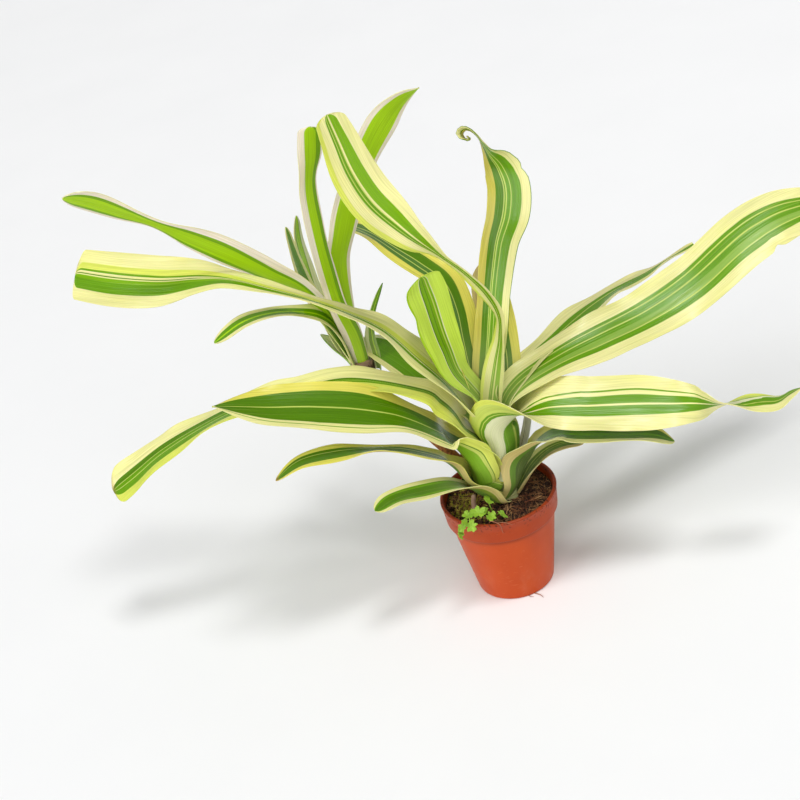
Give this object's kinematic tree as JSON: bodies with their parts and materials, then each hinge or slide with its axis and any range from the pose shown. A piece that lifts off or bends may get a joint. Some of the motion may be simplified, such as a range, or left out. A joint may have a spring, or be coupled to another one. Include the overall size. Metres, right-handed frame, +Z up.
{
  "type": "potted nidularium schultesianum",
  "caption": "Potted bromeliad: a rosette of long cream-striped strap leaves with a younger rosette on a runner, in a small round plastic pot that stands on its foot.",
  "frame": {"origin": "centre of the pot's underside, on the surface it stands on", "axes": "+Z up, +X to the right and -Y to the front, towards the viewer of the picture"},
  "size_m": [0.387, 0.1429, 0.2679],
  "materials": {
    "terracotta_plastic": "thin moulded plastic, satin",
    "peat": "damp peat potting mix with fibres",
    "stem": "pale green stem tissue",
    "scaly_runner": "woody shoot under dry brown scales",
    "leaf": "waxy leaf, green with cream margins and stripes",
    "offset_leaf": "waxy leaf, green with pale margins",
    "dry_leaf": "dead, papery leaf sheath",
    "weed_leaf": "tender seedling leaf"
  },
  "bodies": {
    "root": {"pot": "terracotta_plastic", "soil": "peat", "main_stem": "stem", "offset_stem": "stem", "runner": "scaly_runner", "main_leaf_01": "leaf", "main_leaf_02": "leaf", "main_leaf_03": "leaf", "main_leaf_04": "leaf", "main_leaf_05": "leaf", "main_leaf_06": "leaf", "main_leaf_07": "leaf", "main_leaf_08": "leaf", "main_leaf_09": "leaf", "main_leaf_10": "leaf", "main_leaf_11": "leaf", "main_leaf_12": "leaf", "main_leaf_13": "leaf", "main_leaf_14": "leaf", "main_leaf_15": "leaf", "main_leaf_16": "leaf", "offset_leaf_1": "offset_leaf", "offset_leaf_2": "offset_leaf", "offset_leaf_3": "offset_leaf", "offset_leaf_4": "offset_leaf", "offset_leaf_5": "offset_leaf", "offset_leaf_6": "offset_leaf", "offset_leaf_7": "offset_leaf", "offset_leaf_8": "offset_leaf", "dry_sheath": "dry_leaf", "seedling_left": "weed_leaf", "seedling_right": "weed_leaf"}
  },
  "joints": []
}
